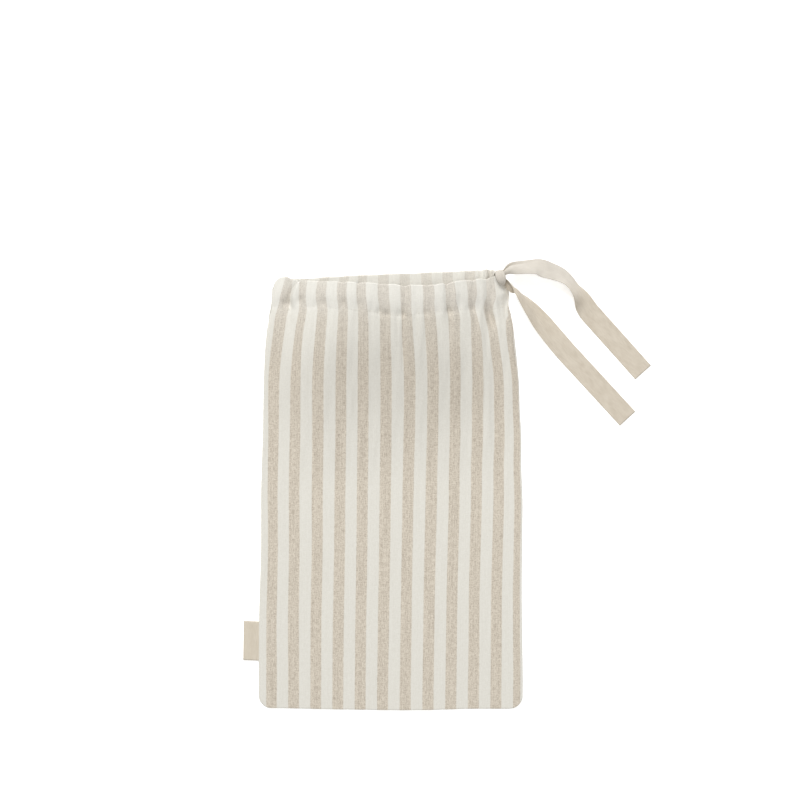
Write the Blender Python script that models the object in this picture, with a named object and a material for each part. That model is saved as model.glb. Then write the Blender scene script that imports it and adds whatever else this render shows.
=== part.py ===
"""Linen bread bag lying on its back, its mouth standing a little open.

Two panels are sewn together along the sides and the bottom. Each is turned over
at the mouth and stitched down, which makes the casing that the drawstring runs
in. The drawstring is one tape: it goes round the mouth inside both casings,
comes out at the right-hand corner, is knotted there and ends in two loose
tails. A folded label sits in the left-hand side seam.

Metres, +Z up, +Y towards the mouth, origin at the middle of the flat underside.
"""
import math

import bmesh
import bpy
from mathutils import Vector

MM = 0.001

# Cloth
CLOTH = 1.2 * MM                # one ply of a panel
GAP = 0.3 * MM                  # between pieces that touch
BOTTOM = -225.5 * MM            # Y of the bottom edge
BOTTOM_CORNER = 10.0 * MM       # radius of the bottom corners
MOUTH_CORNER = 12.0 * MM        # radius of the corners at the mouth

# Casing
CASING_DEPTH = 28.5 * MM        # from the stitch line to the fold at the mouth
CASING_SWELL = 3.5 * MM         # how far the casing's plies stand apart
STITCHED_EDGE = 1.6 * MM        # plies held together beside the stitch line

# The front panel rises like a tent from the flat lower half to the mouth.
MOUTH_RISE = 36.0 * MM
TENT_FOOT = 10.0 * MM           # Y where the front panel leaves the back panel
TENT_CROWN = 215.0 * MM         # Y where it is highest
TENT_SQUARENESS = 1.6           # above 1, the arch is broader than a cosine
SEAM_LIFT_START = 120.0 * MM    # Y where the front's edges start to lift
SEAM_LIFT_END = 192.0 * MM

# Tape
TAPE_WIDTH = 22.0 * MM
TAPE = 1.0 * MM                 # its thickness
TAPE_REST = 0.1 * MM            # left between the tails and the surface
TAPE_CLEARANCE = 0.5 * MM       # left between it and the casing's lower ply
TAPE_IN_CASING = 0.77           # most of the casing's depth that it may fill
TAPE_BUNCHED = 7.0 * MM         # its width where it comes out at the right
TAPE_BUNCH_START = 0.80         # share of the half width where it starts to bunch
TAPE_EDGE_ROOM = 3.0 * MM       # left between the bunched tape and the mouth's fold

# Label
LABEL_BOTTOM = -174.3 * MM
LABEL_TOP = -133.4 * MM
LABEL_REACH = 15.4 * MM         # how far it stands out of the seam
LABEL_LEAN = 0.6 * MM           # its lower corner stands out this much further
LABEL_THICKNESS = 1.2 * MM
LABEL_GAP = 0.4 * MM            # between it and the panels' edges

# Distance of each side seam from the middle, in millimetres. The bag narrows
# towards the gathered mouth and is pinched where the casing is stitched.
SIDES = (
    # y,    left,  right
    (-226, 139.2, 138.2),
    (-110, 138.0, 137.7),
    (-15, 137.2, 137.9),
    (62, 133.9, 136.8),
    (110, 132.6, 134.6),
    (157, 130.4, 130.3),
    (183, 127.2, 127.0),
    (198, 123.9, 122.3),
    (208, 123.2, 123.1),
    (230, 121.6, 122.2),
)

# Height of the mouth's edge along Y, in millimetres. The front's dips in the
# middle and the back's shows above it.
MOUTH = (
    # x,    front,  back
    (-122, 226.6, 225.5),
    (-90, 223.4, 226.5),
    (-60, 221.2, 228.5),
    (-10, 218.4, 231.0),
    (20, 216.8, 232.0),
    (45, 217.6, 233.0),
    (70, 221.8, 234.0),
    (100, 225.6, 235.0),
    (122, 227.2, 234.5),
)

# Soft troughs between the gathers of the front panel, in millimetres. Each is
# deepest at the stitch line and fades out down the panel over its reach.
FRONT_FOLDS = (
    # x,  half width, depth, reach
    (-105, 5.0, 2.6, 45),
    (-93, 3.5, 1.2, 20),
    (-71, 6.0, 1.4, 40),
    (-50, 4.0, 1.2, 25),
    (-33, 4.5, 1.2, 30),
    (-8, 8.0, 1.8, 25),
    (12, 4.5, 2.4, 60),
    (38, 5.0, 1.0, 30),
    (61, 5.0, 1.6, 35),
    (85, 4.5, 1.6, 40),
    (103, 5.5, 3.0, 70),
)
FOLD_AT_MOUTH = 0.5             # share of a fold's depth left at the mouth
NOTCH_SHARE = 0.6               # how much of it the mouth's edge dips

# The loose ends of the tape, from the knot to the cut end, and the strands from
# the knot into the casings, in millimetres and degrees. A roll of 0 lies face
# up and 90 stands on edge. Where z is 0 the tape lies on the surface.
UPPER_TAIL = (
    # along, x, y, z, roll, width, thickness
    (0, 116.5, 228.5, 18.0, -30, 5.0, 3.4),
    (7, 122.0, 234.8, 17.0, -40, 9.0, 2.4),
    (13, 127.1, 236.3, 15.2, -50, 17.0, 1.4),
    (25, 138.6, 237.5, 12.8, -50, 21.0, 1.0),
    (37, 150.7, 238.0, 10.4, -42, 22.0, 1.0),
    (45, 158.7, 236.8, 8.6, -34, 22.0, 1.0),
    (57, 170.3, 232.9, 7.4, -38, 22.0, 1.0),
    (67, 179.0, 228.2, 0, -43, 22.0, 1.0),
    (80, 189.0, 219.8, 0, -43, 22.0, 1.0),
    (92, 195.7, 209.6, 0, -43, 22.0, 1.0),
    (104, 202.0, 199.7, 0, -26, 22.0, 1.0),
    (117, 209.7, 190.6, 0, -8, 22.0, 1.0),
    (126, 216.0, 183.5, 0, 0, 22.0, 1.0),
    (200, 265.2, 128.2, 0, 0, 22.0, 1.0),
)
LOWER_TAIL = (
    # along, x, y, z, roll, width, thickness
    (0, 117.0, 224.5, 17.5, -150, 5.0, 3.4),
    (4, 120.5, 221.9, 16.6, -145, 7.0, 2.6),
    (11, 125.8, 217.5, 15.2, -140, 10.0, 1.8),
    (17, 129.5, 212.4, 13.8, -98, 14.0, 1.4),
    (29, 137.9, 204.6, 11.4, -70, 22.0, 1.0),
    (42, 147.1, 194.7, 9.6, -55, 22.0, 1.0),
    (59, 157.3, 181.8, 0, -35, 22.0, 1.0),
    (80, 170.7, 165.7, 0, -20, 22.0, 1.0),
    (101, 184.1, 150.1, 0, -5, 22.0, 1.0),
    (118, 196.0, 137.2, 0, 0, 22.0, 1.0),
    (197, 248.9, 79.7, 0, 0, 22.0, 1.0),
)
FRONT_STRAND = (
    # along, x, y, z, roll, width, thickness
    (0, 117.0, 223.4, 17.0, 100, 5.0, 2.2),
    (11, 124.5, 216.6, 14.6, 100, 6.0, 2.0),
    (17, 127.2, 212.0, 12.2, 95, 6.6, 1.6),
    (21, 127.5, 209.4, 9.7, 45, 7.0, 1.2),
    (24, 125.3, 208.8, 8.4, 8, 7.0, 1.0),
)
BACK_STRAND = (
    # along, x, y, z, roll, width, thickness
    (0, 125.4, 215.8, 2.2, 178, 7.0, 1.0),
    (3, 128.4, 216.2, 3.4, 150, 7.0, 1.2),
    (9, 130.8, 218.2, 7.2, 100, 6.6, 1.6),
    (16, 129.0, 221.8, 12.0, 90, 6.0, 2.0),
    (23, 123.8, 226.6, 16.0, 85, 6.0, 2.2),
    (30, 117.4, 229.8, 18.2, 85, 5.0, 2.2),
)
KNOT_CENTRE = (115.2, 227.0, 18.6)
KNOT_RADII = (5.2, 8.6, 6.2)
KNOT_TURN = 18                  # degrees, anticlockwise seen from above

# Where the meshes have their cross-sections
FRONT_COLUMNS = 46
BACK_COLUMNS = 24
CORNER_ANGLES = (30, 60, 90)    # degrees round the corners at the mouth
FRONT_ROWS = (0, 0.22, 0.42, 0.55, 0.64, 0.72, 0.79, 0.85, 0.90, 0.94, 0.975)
BACK_ROWS = (0, 0.3, 0.6, 0.85, 0.95)
CASING_STEPS = (0, 0.11, 0.45, 0.82, 0.96)
TAPE_STEPS = (-1, 0, 1)         # across the tape, in half widths
TAIL_SPACING = 8 * MM
TURN_STEPS = 6

LINEN = (0.70, 0.66, 0.58, 1.0)
COTTON = (0.64, 0.58, 0.48, 1.0)


def read(rows, place, column=1):
    """Smooth value of a table's column at a place, level beyond its ends."""
    if place <= rows[0][0]:
        return rows[0][column]
    if place >= rows[-1][0]:
        return rows[-1][column]
    start = max(i for i, row in enumerate(rows) if row[0] <= place)

    def slope(i):
        before, after = rows[max(i - 1, 0)], rows[min(i + 1, len(rows) - 1)]
        return (after[column] - before[column]) / (after[0] - before[0])

    low, high = rows[start], rows[start + 1]
    step = high[0] - low[0]
    t = (place - low[0]) / step
    return ((1 + 2 * t) * (1 - t) ** 2 * low[column]
            + t * (1 - t) ** 2 * step * slope(start)
            + t * t * (3 - 2 * t) * high[column]
            - t * t * (1 - t) * step * slope(start + 1))


def ease(value, start, end):
    """0 before start, 1 after end, and smooth between them."""
    t = min(max((value - start) / (end - start), 0.0), 1.0)
    return t * t * (3 - 2 * t)


def side_x(u, y):
    """X at a share u of the bag's half width, from -1 (left) to 1 (right)."""
    return u * read(SIDES, y / MM, 1 if u < 0 else 2) * MM


def corner_drop(u, y, radius):
    """How far a corner of the given radius has cut back the end of a column."""
    past = abs(side_x(u, y)) - (abs(side_x(math.copysign(1, u), y)) - radius)
    if past <= 0:
        return 0.0
    return radius - math.sqrt(max(radius ** 2 - past ** 2, 0.0))


def fold_depth(x, below_stitch):
    """Depth of the front's folds at x, some way below (or above) the stitches."""
    total = 0.0
    for centre, half_width, depth, reach in FRONT_FOLDS:
        if below_stitch > 0:
            fade = math.exp(-(below_stitch / (reach * MM)) ** 2)
        else:
            fade = 1 + (1 - FOLD_AT_MOUTH) * below_stitch / CASING_DEPTH
        across = (x / MM - centre) / half_width
        total += depth * MM * fade * math.exp(-across ** 2)
    return total


def mouth_line(u, column):
    """Y of a panel's edge at the mouth, before its corners are rounded."""
    x = side_x(u, TENT_CROWN)
    return read(MOUTH, x / MM, column) * MM


class Panel:
    """One panel: where its edges are and how high its sheet lies."""

    def __init__(self, column, rows, columns, is_front):
        self.column = column            # of the MOUTH table
        self.rows = rows
        self.is_front = is_front
        self.columns = spread_columns(columns)

    def bottom(self, u):
        return BOTTOM + corner_drop(u, BOTTOM, BOTTOM_CORNER)

    def stitch(self, u):
        return mouth_line(u, self.column) - CASING_DEPTH

    def top(self, u):
        edge = mouth_line(u, self.column) - corner_drop(u, TENT_CROWN, MOUTH_CORNER)
        if self.is_front:
            edge -= NOTCH_SHARE * fold_depth(side_x(u, TENT_CROWN), -CASING_DEPTH)
        return edge

    def underside(self, u, y):
        """Height of the sheet's underside."""
        if not self.is_front:
            return 0.0
        seam = CLOTH + GAP
        seam += (2 * CLOTH + CASING_SWELL) * ease(y, SEAM_LIFT_START, SEAM_LIFT_END)
        arch = 0.5 * (1 + math.cos(math.pi * abs(u) ** TENT_SQUARENESS))
        tent = MOUTH_RISE * ease(y, TENT_FOOT, TENT_CROWN) * arch
        folds = fold_depth(side_x(u, y), self.stitch(u) - y)
        return seam + tent - folds * arch ** 0.25 * ease(y, TENT_FOOT, SEAM_LIFT_START)

    def casing_floor(self, u, y):
        """Height of the casing's underside; the front's inner ply lies below."""
        return self.underside(u, y) - (CLOTH if self.is_front else 0.0)

    def point(self, u, y, height):
        return Vector((side_x(u, y), y, height))


def spread_columns(count):
    """Places across a panel, evenly spaced with extra ones at its corners."""
    half = abs(side_x(1, TENT_CROWN))
    inner = 1 - MOUTH_CORNER / half
    even = [inner * (2 * i / (count - 1) - 1) for i in range(count)]
    corner = [inner + math.sin(math.radians(a)) * MOUTH_CORNER / half
              for a in CORNER_ANGLES]
    return [-u for u in reversed(corner)] + even + corner


def swell(share):
    """How far apart the casing's plies stand, at a share of its depth."""
    return CASING_SWELL * math.sqrt(max(math.sin(math.pi * share), 0.0))


def casing_rings(panel, u):
    """Outer and channel outlines of the casing at u, matched point by point.

    Both start above the stitch line, go round the fold at the mouth, come back
    underneath and end halfway up beside the stitches.
    """
    stitch = panel.stitch(u)
    depth = panel.top(u) - stitch
    inside = depth - STITCHED_EDGE - CLOTH

    def at(along, height):
        y = stitch + along
        return panel.point(u, y, panel.casing_floor(u, y) + height)

    outer_top = [at(depth * f, 2 * CLOTH + swell(f)) for f in CASING_STEPS]
    outer_low = [at(depth * f, 0) for f in reversed(CASING_STEPS)]
    outer = (outer_top + [at(depth, 1.5 * CLOTH)] + outer_low + [at(0, CLOTH)])

    alongs = [STITCHED_EDGE + inside * f for f in CASING_STEPS]
    top = [at(s, CLOTH + swell(s / depth)) for s in alongs]
    low = [at(s, CLOTH) for s in reversed(alongs)]
    end = STITCHED_EDGE + inside
    channel = (top + [at(end, CLOTH + 0.5 * swell(end / depth))] + low
               + [at(STITCHED_EDGE, CLOTH + 0.5 * swell(STITCHED_EDGE / depth))])
    return outer, channel


def new_object(name, bm, colour):
    """Finish a mesh as one smooth-shaded object with its own material."""
    bmesh.ops.recalc_face_normals(bm, faces=bm.faces)
    mesh = bpy.data.meshes.new(name)
    bm.to_mesh(mesh)
    bm.free()
    mesh.shade_smooth()
    mesh.set_sharp_from_angle(angle=math.radians(50))
    material = bpy.data.materials.new(name)
    material.use_nodes = True
    shader = material.node_tree.nodes["Principled BSDF"]
    shader.inputs["Base Color"].default_value = colour
    shader.inputs["Roughness"].default_value = 0.9
    shader.inputs["Metallic"].default_value = 0.0
    mesh.materials.append(material)
    piece = bpy.data.objects.new(name, mesh)
    bpy.context.collection.objects.link(piece)
    return piece


def skin(bm, rings):
    """Faces between closed rings of the same number of vertices."""
    for ring, following in zip(rings, rings[1:]):
        for k in range(len(ring)):
            n = (k + 1) % len(ring)
            bm.faces.new((ring[k], ring[n], following[n], following[k]))


def make_panel(name, panel):
    """A sheet with its casing: cross-sections at each column, joined in turn."""
    bm = bmesh.new()
    outlines, channels, ends = [], [], []
    for u in panel.columns:
        bottom, stitch = panel.bottom(u), panel.stitch(u)
        above, below = [], []
        for row in panel.rows:
            y = bottom + row * (stitch - bottom)
            height = panel.underside(u, y)
            below.append(bm.verts.new(panel.point(u, y, height)))
            above.append(bm.verts.new(panel.point(u, y, height + CLOTH)))
        outer, channel = casing_rings(panel, u)
        outer = [bm.verts.new(p) for p in outer]
        channel = [bm.verts.new(p) for p in channel]
        if panel.is_front:
            sheet_end = (outer[0], outer[-1])
            outline = above + outer + below[::-1]
        else:
            sheet_end = (outer[-1], outer[-2])
            outline = above + outer[-1:] + outer[:-1] + below[::-1]
        outlines.append(outline)
        channels.append(channel)
        ends.append((above + [sheet_end[0]], below + [sheet_end[1]], outer, channel))
    skin(bm, outlines)
    skin(bm, channels)
    for above, below, outer, channel in (ends[0], ends[-1]):
        for j in range(len(above) - 1):
            bm.faces.new((above[j], above[j + 1], below[j + 1], below[j]))
        for k in range(len(outer)):
            n = (k + 1) % len(outer)
            bm.faces.new((outer[k], outer[n], channel[n], channel[k]))
    return new_object(name, bm, LINEN)


def tape_ring(centre, travel, roll, width, thickness):
    """Cross-section of the tape where it travels in a direction, rolled over."""
    level = Vector((0, 0, 1)).cross(travel).normalized()
    upright = travel.cross(level).normalized()
    edge = math.cos(roll) * level + math.sin(roll) * upright
    face = math.cos(roll) * upright - math.sin(roll) * level
    below = [centre - edge * step * width / 2 - face * thickness / 2
             for step in TAPE_STEPS]
    above = [centre - edge * step * width / 2 + face * thickness / 2
             for step in reversed(TAPE_STEPS)]
    return below + above


def tape_along(rows, spacing):
    """Cross-sections of the tape through a table of its stations."""
    length = rows[-1][0]

    def station(place):
        x, y, z, roll, width, thickness = (read(rows, place, c) for c in range(1, 7))
        roll, width, thickness = math.radians(roll), width * MM, thickness * MM
        reach_down = (width * abs(math.sin(roll)) + thickness * abs(math.cos(roll))) / 2
        centre = Vector((x * MM, y * MM, max(z * MM, reach_down + TAPE_REST)))
        return centre, roll, width, thickness

    count = max(2, round(length * MM / spacing) + 1)
    rings = []
    for i in range(count):
        place = length * i / (count - 1)
        ahead, behind = min(place + 1, length), max(place - 1, 0)
        travel = (station(ahead)[0] - station(behind)[0]).normalized()
        centre, roll, width, thickness = station(place)
        rings.append(tape_ring(centre, travel, roll, width, thickness))
    return rings


def tape_in_casing(panel, u):
    """Cross-section of the tape inside a panel's casing at u."""
    depth = panel.top(u) - panel.stitch(u)
    bunch = ease(u, TAPE_BUNCH_START, 1)
    full_width = min(TAPE_WIDTH, TAPE_IN_CASING * depth)
    half_width = (full_width + bunch * (TAPE_BUNCHED - full_width)) / 2
    middle = panel.top(u) - depth / 2
    middle += bunch * (depth / 2 - half_width - TAPE_EDGE_ROOM)
    inner, outer = [], []
    for step in TAPE_STEPS:
        y = middle + step * half_width
        height = panel.casing_floor(u, y) + CLOTH + TAPE_CLEARANCE
        inner.append(panel.point(u, y, height))
        outer.append(panel.point(u, y, height + TAPE))
    if not panel.is_front:
        inner, outer = outer, inner
    return inner + outer[::-1]


def tape_round_side(front_ring, back_ring):
    """Half turn of the tape round the left-hand side seam."""
    rings = []
    for i in range(1, TURN_STEPS):
        angle = math.pi * i / TURN_STEPS
        share = (1 - math.cos(angle)) / 2
        ring = []
        for front, back in zip(front_ring, back_ring):
            out = Vector(((front.z - back.z) / 2 * math.sin(angle), 0, 0))
            ring.append(front.lerp(back, share) - out)
        rings.append(ring)
    return rings


def tape_solid(name, rings):
    """Closed strip through the tape's cross-sections."""
    bm = bmesh.new()
    rings = [[bm.verts.new(p) for p in ring] for ring in rings]
    skin(bm, rings)
    last = len(TAPE_STEPS) * 2 - 1
    for ring in (rings[0], rings[-1]):
        for k in range(len(TAPE_STEPS) - 1):
            bm.faces.new((ring[k], ring[k + 1], ring[last - k - 1], ring[last - k]))
    return new_object(name, bm, COTTON)


def knot_ball():
    """The tightened knot, as one rounded lump."""
    bm = bmesh.new()
    bmesh.ops.create_uvsphere(bm, u_segments=14, v_segments=8, radius=1)
    piece = new_object("knot_lump", bm, COTTON)
    for vertex in piece.data.vertices:
        vertex.co = [c * r * MM for c, r in zip(vertex.co, KNOT_RADII)]
    piece.location = Vector(KNOT_CENTRE) * MM
    piece.rotation_euler.z = math.radians(KNOT_TURN)
    return piece


def make_drawstring(front, back):
    """The whole tape: strands in both casings, the knot and the two tails."""
    strand_spacing = TAIL_SPACING / 2
    over = [tape_in_casing(front, u) for u in reversed(front.columns)]
    under = [tape_in_casing(back, u) for u in back.columns]
    run = (tape_along(FRONT_STRAND, strand_spacing) + over
           + tape_round_side(over[-1], under[0]) + under
           + tape_along(BACK_STRAND, strand_spacing))
    drawstring = tape_solid("drawstring_tape", run)
    added = [knot_ball(),
             tape_solid("upper_tail", tape_along(UPPER_TAIL, TAIL_SPACING)),
             tape_solid("lower_tail", tape_along(LOWER_TAIL, TAIL_SPACING))]
    for piece in added:
        piece.hide_render = True
        piece.display_type = "WIRE"
        join = drawstring.modifiers.new(piece.name, "BOOLEAN")
        join.operation = "UNION"
        join.solver = "EXACT"
        join.object = piece
    return drawstring, added


def make_label():
    """Folded label lying beside the left-hand seam, its fold on the outside."""
    bm = bmesh.new()
    profile = (
        # share of reach, underside, thickness share
        (0.0, 0.7 * MM, 1.0),
        (0.5, 0.3 * MM, 1.0),
        (0.93, 0.1 * MM, 1.3),
        (1.0, 0.4 * MM, 0.6),
    )
    rings = []
    for y in (LABEL_BOTTOM, LABEL_TOP):
        seam = side_x(-1, y) - LABEL_GAP
        reach = LABEL_REACH + (LABEL_LEAN if y == LABEL_BOTTOM else 0.0)
        below = [Vector((seam - f * reach, y, z)) for f, z, _ in profile]
        above = [Vector((seam - f * reach, y, z + share * LABEL_THICKNESS))
                 for f, z, share in reversed(profile)]
        rings.append([bm.verts.new(p) for p in below + above])
    skin(bm, rings)
    last = len(profile) * 2 - 1
    for ring in rings:
        for k in range(len(profile) - 1):
            bm.faces.new((ring[k], ring[k + 1], ring[last - k - 1], ring[last - k]))
    return new_object("side_label", bm, COTTON)


def main():
    for leftover in list(bpy.data.objects):
        bpy.data.objects.remove(leftover)
    front = Panel(1, FRONT_ROWS, FRONT_COLUMNS, is_front=True)
    back = Panel(2, BACK_ROWS, BACK_COLUMNS, is_front=False)
    drawstring, added = make_drawstring(front, back)
    bag = bpy.data.objects.new("bread_bag", None)
    bpy.context.collection.objects.link(bag)
    for piece in (make_panel("front_panel", front), make_panel("back_panel", back),
                  drawstring, make_label(), *added):
        piece.parent = bag


main()
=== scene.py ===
"""The linen bread bag as it looks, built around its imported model.

Each panel is a fine sheet on its solid's folds, with its casing turned inside. The
drawstring is one flat tape with a tight knot and two loose tails, and the label is a
folded strip. Shapes are worked out in millimetres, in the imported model's frame.
"""
import math

import bmesh
import bpy
import numpy as np
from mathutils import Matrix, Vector

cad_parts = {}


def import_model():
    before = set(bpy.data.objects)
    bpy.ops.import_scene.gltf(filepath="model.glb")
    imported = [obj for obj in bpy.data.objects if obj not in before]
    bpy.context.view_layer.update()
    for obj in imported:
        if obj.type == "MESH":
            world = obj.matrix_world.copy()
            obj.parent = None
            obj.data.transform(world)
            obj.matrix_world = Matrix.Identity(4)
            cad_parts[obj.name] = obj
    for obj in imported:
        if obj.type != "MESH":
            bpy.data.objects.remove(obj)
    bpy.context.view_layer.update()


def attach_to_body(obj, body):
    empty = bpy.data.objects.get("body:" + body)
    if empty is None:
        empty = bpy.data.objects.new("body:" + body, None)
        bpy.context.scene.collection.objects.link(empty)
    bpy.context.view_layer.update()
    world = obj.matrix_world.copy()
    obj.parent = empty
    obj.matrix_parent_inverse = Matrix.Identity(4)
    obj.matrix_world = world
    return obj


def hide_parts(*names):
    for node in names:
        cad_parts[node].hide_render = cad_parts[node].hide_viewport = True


MM = 0.001
BODY = "root"
CLOTH_MAP = "cloth"  # UV map with the cloth's own coordinates, in millimetres

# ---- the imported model's shape
CAD_CLOTH = 1.2  # thickness of the solids' cloth
GAP = 0.3  # between the back panel's solid and the front one's
BOTTOM = -225.5
BOTTOM_CORNER = 14.0  # radius
MOUTH_CORNERS = (12, 22)  # left, and right where the tape leaves the casings
CASING_DEPTH = 28.5  # from the edge at the mouth down to the stitches
CASING_SWELL = 1.1  # how much further apart its plies stand halfway
MOUTH_RISE = 36.0  # how high the front panel stands at the mouth
TENT_FOOT = 10.0  # it rises from here
TENT_CROWN = 215.0  # up to here
TENT_SQUARENESS = (2.1, 1.6)  # in the flat half and at the mouth
SEAM_LIFT_START = 120.0  # the side seams come up off the floor from here
SEAM_LIFT_END = 192.0  # up to here
FOLD_AT_MOUTH = 0.5  # share of a fold's depth at the mouth's edge
NOTCH_SHARE = 0.9  # how far a fold pulls that edge down, as a share of its depth

SIDES = (
    # y, distance of the side seam from the middle on the left and on the right
    (-226, 138.6, 138.6),
    (-195, 138.3, 138.8),
    (-132, 138, 138),
    (-100, 137.1, 137.7),
    (-66, 136.1, 138),
    (-30, 135.8, 138.4),
    (-4, 135.9, 138.5),
    (28, 135.2, 137.3),
    (60, 134.1, 137.3),
    (90, 133.5, 135.7),
    (120, 133, 134.6),
    (157, 130.9, 130.7),
    (183, 127.3, 127),
    (198, 123.9, 122.3),
    (208, 123.2, 123.1),
    (230, 121.6, 122.2),
)
BOTTOM_EDGE = (
    # x, height of the panels' lower edge above BOTTOM
    (-120, 1.5),
    (-95, 1.1),
    (-67, 0.4),
    (-26, -0.2),
    (6, -0.7),
    (38, -0.5),
    (60, 0.1),
    (80, 0.8),
    (120, 0.8),
)
MOUTH = (
    # x, height of the front panel's edge and of the back one's
    (-122, 228.6, 225.5),
    (-109, 227.2, 226),
    (-90, 223.4, 226.5),
    (-60, 221.2, 228.5),
    (-10, 218.4, 231),
    (20, 216.8, 232),
    (45, 217.6, 233),
    (70, 221.8, 234),
    (100, 226.4, 235),
    (104, 228.2, 235),
    (110, 230, 235),
    (122, 231.5, 234.5),
)
CASING_EXTRA = (
    # x, how much deeper the gathered front casing is there
    (-122, 3.5),
    (-108, 4.6),
    (-94, 0.6),
    (-76, -1.8),
    (-56, -0.6),
    (-38, 0),
    (-20, 0.6),
    (-4, 2.8),
    (12, 2.8),
    (30, 0.6),
    (60, 0),
    (70, 0.8),
    (84, 3),
    (101, 6.5),
    (110, 7),
    (122, 5.5),
)
FRONT_FOLDS = (
    # x, half width, depth, reach down from the stitches
    (-105, 5, 2.6, 45),
    (-93, 3.5, 1.2, 20),
    (-71, 6, 1.4, 40),
    (-50, 4, 1.2, 25),
    (-33, 4.5, 1.2, 30),
    (-8, 8, 1.8, 25),
    (12, 4.5, 2.4, 60),
    (38, 5, 1, 30),
    (61, 5, 1.6, 35),
    (85, 4.5, 1.6, 40),
    (103, 5.5, 3, 70),
)

# ---- the cloth in detail
CLOTH = 0.8  # thickness of a ply
PINCH = 0.1  # between the plies at the stitches
PARTING = 0.12  # share of the casing's depth over which they part
HEM = 4.0  # of the inner ply, past the stitches
HEM_ROWS = (0.3, 0.55, 0.8, 1)  # shares of it
HEM_SLACK = 0.3  # how much deeper it lies under a crease, as a share of that
SLACK_FADE = (0.1, 0.4)  # shares of the casing's depth between which this ends
TIP = 1.6  # how deep the casing's edge at the mouth is rounded
SWELL_FULLNESS = 1.5  # above 1, the casing rises more softly from its edges
VALLEY = 0.14  # depth of the groove along the front stitches
BACK_VALLEY = 0.5  # and along the back ones, which clears the floor
VALLEY_WIDTH = 2.4
VALLEY_CHANGE = 0.5  # how much its depth varies, as a share of it
VALLEY_LEAST = 0.2  # and the least of it that is left
SEAM_HEIGHT = (1.35, 6.05)  # of the side seams, in the flat half and at the mouth
SEAM_ROUND = (1.3, 3.2)  # how far in the cloth rounds over beside them
SEAM_ROUND_RISE = (80, 190)  # heights between which that grows
CASING_ROUND = 6.0  # and how far in at the casing
CASING_ROUND_RISE = (190, 206)
CASING_END = 2.0  # thickness of a casing's end at the side seam
CASING_END_RISE = (-16, 3)  # distances past the stitches between which it builds up
CASING_END_REACH = 7.0  # how far in from the seam the back casing starts to thin
SHOULDERS = (3, 5.5)  # extra fullness beside the left and right seams
SHOULDER_RISE = (30, 160)  # heights between which it sets in
SHOULDER_START = 2.5  # distance from the seam over which it grows
SHOULDER_REACH = 38.0
FOLD_SPREAD = 0.25  # below 1, the folds stay deep closer to the side seams
WAVES_RISE = (-40, 140)  # heights between which the waves below set in
SOFT_HEIGHT = 0.45
SMALL_HEIGHT = 0.10
PUCKER_HEIGHT = 0.45  # of the fine puckers along the front stitches
PUCKER_REACH = 9.0  # how far they go from the stitches
CREASE_FADE = 0.4  # share of a crease's length over which its lower end fades out
CREASE_START = 0.2  # and its upper end, where that isn't at the mouth
HALF_CLOTH = 139.0  # nominal half width of a panel's flat cloth

# Creases: half width, depth (a ridge's is negative), then the line from its
# upper end down. Those from above the mouth notch its edge.
CREASES = (
    (1.9, 3.5, (-93, 229), (-98.5, 220), (-103.2, 213), (-105.2, 204), (-104.6, 197), (-102, 186)),
    (2.2, 1.2, (-92.5, 229), (-92.3, 211), (-92.4, 198), (-91.5, 182)),
    (3, -1.9, (-91, 229), (-96, 219), (-99.8, 210), (-101, 201), (-100, 190)),
    (4, -1.4, (-107, 229), (-111, 219), (-113.5, 208), (-114, 196)),
    (1.6, 1.2, (-48, 229), (-48, 220), (-47, 201), (-46, 178)),
    (1.5, 1.2, (-33, 229), (-32.5, 212), (-33, 196)),
    (1.8, 0.6, (-62, 229), (-61, 208), (-62, 190), (-63, 172)),
    (1.8, 0.5, (-78, 229), (-77, 205), (-78, 180), (-80, 160)),
    (2, 0.6, (-20, 202), (-21, 186), (-20, 160), (-22, 140)),
    (1.3, 1, (-7.5, 196), (-7.4, 176), (-7.6, 152)),
    (1.2, 0.9, (-2.4, 194), (-2.2, 178), (-2.6, 158)),
    (1.2, 0.8, (2.4, 195), (2.2, 180), (2, 160)),
    (1.2, 1, (6, 195), (6.3, 176), (6, 154)),
    (1.7, 1.6, (15, 229), (15.6, 201), (14.4, 181), (13.2, 156), (13.6, 120)),
    (1.4, 0.6, (23, 212), (22.6, 196), (23.4, 180)),
    (1.8, 0.7, (34, 205), (35, 186), (36, 165), (38, 140)),
    (1.8, 0.9, (46, 229), (46.5, 208), (47, 186), (49, 168)),
    (1.8, 1.8, (58, 229), (57, 201), (61, 189), (64, 172), (67, 150)),
    (2.2, 1, (71.6, 214), (71, 190), (73, 171), (78, 146)),
    (2, 0.9, (86, 229), (84, 205), (86.5, 191), (90, 176), (95, 158)),
    (1.6, -0.7, (88.5, 184), (92, 176), (97, 158)),
    (3, 0.9, (99, 229), (100, 208), (102, 194), (105, 184), (108, 174), (111, 160)),
    (2.4, 2, (100, 204), (101.5, 197), (102.6, 190), (104.5, 182), (107, 174), (110, 163)),
    (3, -2, (108.2, 212), (109.6, 200), (110.6, 188), (112.8, 174), (115.4, 160)),
    (3.8, 2.8, (117.6, 211), (118.6, 200), (120.2, 186), (122.5, 170)),
    (1.6, 0.5, (-112, 192), (-114, 176), (-118, 158)),
    (1.8, 0.5, (-96, 186), (-99, 168), (-104, 148)),
    (1.8, 0.4, (-70, 168), (-73, 150), (-76, 126)),
    (2.2, 0.5, (52, 160), (54, 140), (57, 112)),
    (2.2, 0.4, (-38, 160), (-40, 136), (-41, 108)),
    (2.4, 0.5, (84, 150), (89, 128), (93, 100)),
)
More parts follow.
